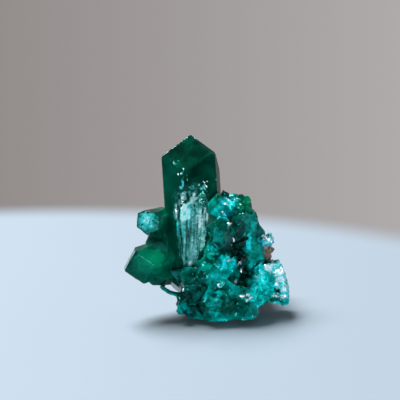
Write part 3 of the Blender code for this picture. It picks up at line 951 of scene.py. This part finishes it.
def glints_mesh(rng, carrier, ovals, each, smallest, largest):
    """Tiny flat shining crystal ends in ovals of the photograph's view, as many as each to a pixel."""
    tree = tree_of(carrier)
    corners = []
    faces = []
    for middle_x, middle_y, half_x, half_y, turn in ovals:
        along, across = math.cos(math.radians(turn)), math.sin(math.radians(turn))
        for _ in range(max(1, round(half_x * half_y * math.pi * each))):
            far = math.sqrt(rng.random())
            angle = rng.uniform(0.0, math.tau)
            dx = half_x * far * math.cos(angle)
            dy = half_y * far * math.sin(angle)
            start, way = sight((middle_x + dx * along - dy * across, middle_y - dx * across - dy * along))
            spot, normal, _, _ = tree.ray_cast(start, way)
            if spot is None or normal.dot(-way) < 0.15:
                continue
            axis = rng.choice(SHINING) + Vector([rng.uniform(-0.035, 0.035) for _ in range(3)])
            axis = axis.normalized()
            side = axis.orthogonal().normalized()
            other = axis.cross(side)
            radius = rng.uniform(smallest, largest)
            long = rng.uniform(0.6, 1.6)
            first = len(corners)
            for height in SHINING_REACH:
                for x, y in RING:
                    corners.append(spot + axis * height + side * (x * radius * long) + other * (y * radius))
            faces.append(tuple(range(first + 5, first - 1, -1)))
            faces.append(tuple(range(first + 6, first + 12)))
            for k in range(6):
                after = (k + 1) % 6
                faces.append((first + k, first + after, first + 6 + after, first + 6 + k))
    mesh = bpy.data.meshes.new("glints")
    mesh.from_pydata([tuple(corner) for corner in corners], [], faces)
    return mesh


# The tiny crystal ends' pale colour is painted highlight, on top of their real reflection of the lights
def glint_look():
    look = Look("bright_ends")
    look.set(Base_Color=(0.62, 0.92, 0.98), Roughness=0.06, IOR=INDEX)
    return look.material


# The angles, in degrees, above which edges look sharp
CLEAR_EDGE = 20
ETCHED_EDGE = 35
PITTED_EDGE = 30
GROWN_EDGE = 25
ROCK_EDGE = 30
# The tall crystal's front is evened round its scar, below this height in the photograph's view
EVENED_BELOW = 180.0
# How far the short crystals' faces stand out from their solids, and the size, tilt and step of their facets
GROWN = 0.15
UNEVEN = [(1.6, 0.02, 0.02)]
# The rock's facets, and the coarse and the fine ones of the growths, which have a flatness after the size
ROCK_FACETS = [(2.5, 0.2, 0.2), (0.9, 0.3, 0.12), (0.4, 0.3, 0.05)]
MASS_FACETS = ((2.3, 0.75, 0.15, 0.2), (0.8, 0.7, 0.22, 0.05))
DRUSE_FACETS = ((2.0, 0.9, 0.1, 0.1), (0.5, 0.7, 0.25, 0.06))
# Clefts in the growths are filled up to this half width
CLEFT = 0.5
# The oval round the mass's thin curved blade, which isn't broken into facets
BLADE = (170, 290, 10, 9, 0)
# The mass's foot is drawn in below a height, by a share of its width
UNDERCUT = (0.7, 0.35)
# The turquoise block: how square it is, how much of its height is left, and how its right corner is cut
BLOCK_SQUARE = 0.55
BLOCK_HEIGHT = 0.93
BLOCK_CUT_PLACE = (13.3, 0.0, 10.06)
BLOCK_CUT_WAY = (0.902, 0.0, 0.431)
BLOCK_CUT_SHARE = 0.95


def make_tall_crystal(rng, frosted, bright):
    main = netted(node_mesh("main_crystal"), FINE)
    points, _ = arrays_of(main)
    x, y = seen(points)
    front = (points[:, 1] < 0.0) & (y > EVENED_BELOW)
    move(main, evened(main, held(inside(x, y, SCAR) / 4.0 + 1.0) * front, 150))
    smooth(main, CLEAR_EDGE)
    scar = scar_mesh(main)
    smooth(scar, ETCHED_EDGE)
    ends = glints_mesh(rng, scar, SCAR_GLINTS, 0.5, 0.06, 0.13)
    piece("main_crystal_scar", scar, "dioptase_green", frosted)
    piece("main_crystal_scar_ends", ends, "dioptase_green", bright)
    flecks = flecks_mesh(main)
    smooth(flecks, ETCHED_EDGE)
    piece("main_crystal_flecks", flecks, "dioptase_green", frosted)
    ends = glints_mesh(rng, main, MAIN_GLINTS, 0.8, 0.05, 0.12)
    piece("main_crystal_ends", ends, "dioptase_green", bright)
    painted_clear_light(main, 0.45, 140)
    look = clear_look("clear_main", 0.7, 1200.0)
    piece("main_crystal_fine", main, "dioptase_green", look, "main_crystal")


def make_left_crystals():
    for name in ("left_upper_crystal", "left_lower_crystal"):
        mesh = broken(netted(node_mesh(name), FINE), GROWN, UNEVEN, 5)
        if name == "left_upper_crystal":
            end = end_mesh(mesh)
            smooth(end, PITTED_EDGE)
            piece("left_upper_crystal_end", end, "dioptase_green", end_look())
        smooth(mesh, CLEAR_EDGE)
        painted_clear_light(mesh, 0.4, 150)
        look = clear_look("clear_" + name, 0.6, 600.0)
        piece(name + "_fine", mesh, "dioptase_green", look, name)
    rows = [(Vector(foot), Vector(tip) - Vector(foot), *rest, 0.5) for foot, tip, *rest in LEFT_SMALL]
    small = crystals_mesh("left_small", rows)
    painted_clear_light(small, 0.3, 155)
    piece("left_lower_crystal_small", small, "dioptase_green", look)


def make_back_crystals():
    for name in ("back_crystal_left", "back_crystal_middle", "back_crystal_right"):
        mesh = broken(netted(node_mesh(name), COARSE), GROWN, UNEVEN, 6)
        smooth(mesh, CLEAR_EDGE)
        painted_clear_light(mesh, 0.5, 160)
        look = clear_look("clear_" + name, 0.7, 1000.0)
        piece(name + "_fine", mesh, "dioptase_green", look, name)


def make_mass(rng, bright):
    mass = closed_up(node_mesh("crystal_mass"), CLEFT, FINE)
    x, y = seen(arrays_of(mass)[0])
    share = held((spread(x, y, *BLADE) - 1.0) * 3.0)
    faceted(mass, MASS_FACETS, 0.6, 20, share)
    undercut(mass, *UNDERCUT)
    held_in(mass, MASS_RIGHT, 0.75)
    marked(mass, 0.40, 30, 40)
    smooth(mass, GROWN_EDGE)
    look = mass_look("mass_teal")
    small = crystals_mesh("mass_small", scatter(rng, mass, 60, 0.15, 0.45))
    marked(small, 0.40, 30)
    ends = glints_mesh(rng, mass, MASS_GLINTS, 0.7, 0.07, 0.15)
    piece("crystal_mass_ends", ends, "dioptase_teal", bright)
    piece("crystal_mass_fine", mass, "dioptase_teal", look, "crystal_mass")
    piece("crystal_mass_small", small, "dioptase_teal", look)


def block_shaped(mesh):
    """Gives the turquoise block its flatter sides, higher bottom and cut corner."""
    points, _ = arrays_of(mesh)
    points = squared(points, BLOCK_SQUARE)
    top = points[:, 2].max()
    points[:, 2] = top - (top - points[:, 2]) * BLOCK_HEIGHT
    beyond = (points - np.array(BLOCK_CUT_PLACE)) @ np.array(BLOCK_CUT_WAY)
    move(mesh, points - np.maximum(beyond, 0.0)[:, None] * np.array(BLOCK_CUT_WAY) * BLOCK_CUT_SHARE)


def make_druse(rng, bright, name, shape, seed, count, glints, specks):
    """A druse, with a count of small free crystals. Its form is changed by a function, if it has one."""
    druse = closed_up(node_mesh(name), CLEFT, FINE)
    if shape:
        shape(druse)
    faceted(druse, DRUSE_FACETS, 0.5, seed)
    marked(druse, 0.66, 31, 25)
    smooth(druse, GROWN_EDGE)
    look = mass_look(name + "_look", 0.12)
    small = crystals_mesh(name + "_small", scatter(rng, druse, count, 0.08, 0.25))
    marked(small, 0.66, 31)
    ends = glints_mesh(rng, druse, glints, 0.5, 0.07, 0.16)
    piece(name + "_ends", ends, "druse_turquoise", bright)
    if specks:
        ends = glints_mesh(rng, druse, specks, 0.1, 0.03, 0.08)
        piece(name + "_specks", ends, "druse_turquoise", bright)
    piece(name + "_fine", druse, "druse_turquoise", look, name)
    piece(name + "_small", small, "druse_turquoise", look)


def make_rock():
    rock = remeshed(node_mesh("host_rock"), FINE)
    rock = broken(rock, 0.1, ROCK_FACETS, 60)
    smooth(rock, ROCK_EDGE)
    piece("host_rock_fine", rock, "rock_brown", rock_look(), "host_rock")


def make_specimen():
    rng = random.Random(11)
    bright = glint_look()
    make_tall_crystal(rng, frost_look(), bright)
    make_left_crystals()
    make_back_crystals()
    make_mass(rng, bright)
    make_druse(rng, bright, "turquoise_druse", block_shaped, 40, 260, BLOCK_GLINTS, BLOCK_SPECKS)
    make_druse(rng, bright, "rim_druse", None, 50, 60, RIM_GLINTS, [])
    make_rock()


# The stage


# The round table: its middle, its radius, and between which distances its far rim fades into the wall
TABLE = Vector((-37.0, -41.0, -0.05))
RADIUS = 142.0
FADE = (118.0, 140.0)
# What the lights are turned to
LIT = Vector((0.0, 0.0, 12.0))


def make_stage():
    shape = bmesh.new()
    bmesh.ops.create_circle(shape, cap_ends=True, radius=RADIUS, segments=128)
    mesh = bpy.data.meshes.new("table")
    shape.to_mesh(mesh)
    shape.free()
    mesh.transform(Matrix.Scale(METRES, 4) @ Matrix.Translation(TABLE))
    look = Look("table")
    away = look.new("VectorMath")
    away.operation = "DISTANCE"
    look.link(look.place, away.inputs[0])
    away.inputs[1].default_value = TABLE * METRES
    look.set(Base_Color=(0.388, 0.466, 0.546), Roughness=0.55)
    look.set(Alpha=look.steps(away.outputs["Value"], FADE[0] * METRES, FADE[1] * METRES, 1.0, 0.0))
    mesh.materials.append(look.material)
    shown("table", mesh)


def aim(made, place, way):
    """Puts a light or the camera at a place, turned in a direction."""
    made.location = place * METRES
    made.rotation_mode = "QUATERNION"
    made.rotation_quaternion = way.to_track_quat("-Z", "Y")


def area(name, place, size, power, colour):
    """A soft light with a width and a height at a place, turned to the specimen."""
    light = bpy.data.lights.new(name, "AREA")
    light.shape = "RECTANGLE"
    light.size = size[0] * METRES
    light.size_y = size[1] * METRES
    light.energy = power
    light.color = colour
    aim(shown(name, light), Vector(place), LIT - Vector(place))


def make_lights():
    area("window", (-330.0, 260.0, 820.0), (700.0, 340.0), 14.9, (0.97, 0.99, 1.0))
    area("front", (100.0, -450.0, 45.0), (240.0, 60.0), 1.05, (0.95, 0.98, 1.0))


def make_room():
    """The wall behind the table, and a soft light from all round that is stronger from the back."""
    world = bpy.data.worlds.new("room")
    bpy.context.scene.world = world
    world.use_nodes = True
    room = Nodes(world.node_tree)
    way = room.new("SeparateXYZ", Vector=room.new("TexCoord").outputs["Generated"])
    wall = room.mix(room.line(way.outputs["X"], -0.19, 0.19), (0.29, 0.262, 0.258), (0.43, 0.41, 0.41))
    light = room.steps(way.outputs["Y"], -0.5, 0.6, 0.02, 0.155)
    colour = room.mix(room.new("LightPath").outputs["Is Camera Ray"], light, wall)
    room.put(room.tree.nodes["Background"], Color=colour)


def make_camera():
    camera = shown("camera", bpy.data.cameras.new("camera"))
    aim(camera, TARGET - Vector(AHEAD) * DISTANCE, Vector(AHEAD))
    camera.data.lens = LENS
    camera.data.sensor_width = SENSOR
    camera.data.clip_start = 0.005
    camera.data.clip_end = 10.0
    bpy.context.scene.camera = camera


make_camera()
make_stage()
make_lights()
make_room()
make_specimen()
bpy.context.scene.view_settings.view_transform = "Standard"
